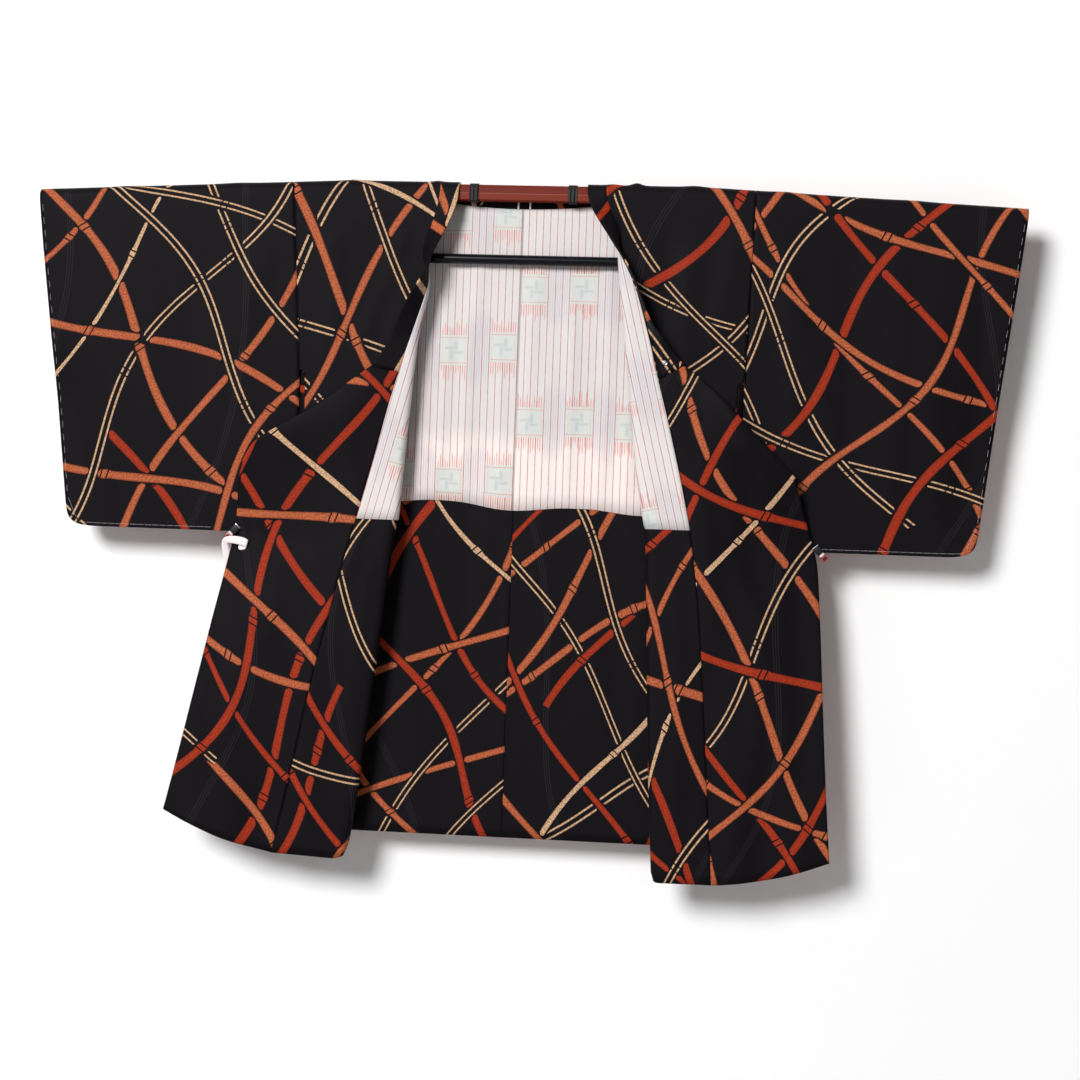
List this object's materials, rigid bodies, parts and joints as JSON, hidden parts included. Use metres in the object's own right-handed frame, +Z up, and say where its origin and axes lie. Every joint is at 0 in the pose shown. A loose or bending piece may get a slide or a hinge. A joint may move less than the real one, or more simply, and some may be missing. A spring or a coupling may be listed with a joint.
{
  "type": "michiyuki coat on a kimono hanger rod",
  "caption": "Hip-length Japanese silk overcoat hung open on a straight rod hanger, sleeves spread, both fronts turned back to show the lining.",
  "frame": {"origin": "the middle of the hanger rod, on the rod's axis, where the hanger is held", "axes": "+X along the rod to the right of a viewer who faces the coat's open front, the front faces -Y, +Z up"},
  "size_m": [1.34, 0.0662, 0.9308],
  "materials": {
    "silk": "black silk with a bright printed lattice, soft sheen",
    "lining": "white silk with a woven stripe, matte",
    "rod": "red-brown lacquer, satin",
    "wrap": "black tape",
    "bar": "black, satin",
    "clip": "black plastic with pale jaws",
    "metal": "bright metal"
  },
  "bodies": {
    "root": {"hanger_rod_centre": "rod", "hanger_arm_left": "rod", "hanger_arm_right": "rod", "hanger_band_left": "wrap", "hanger_band_right": "wrap", "obi_bar": "bar", "obi_bar_strut_left": "bar", "obi_bar_strut_right": "bar", "body_left": "silk", "body_right": "silk", "lining_back_left": "lining", "lining_back_right": "lining", "lining_front_left": "lining", "lining_front_right": "lining", "collar": "silk", "overlap_left": "silk", "overlap_right": "silk", "sleeve_left": "silk", "sleeve_right": "silk", "gusset_left": "silk", "gusset_right": "silk", "hanging_loop": "lining", "snap_stud": "metal", "flap_clip_left": "clip", "flap_clip_right": "clip", "inner_tie_left": "lining"}
  },
  "joints": []
}
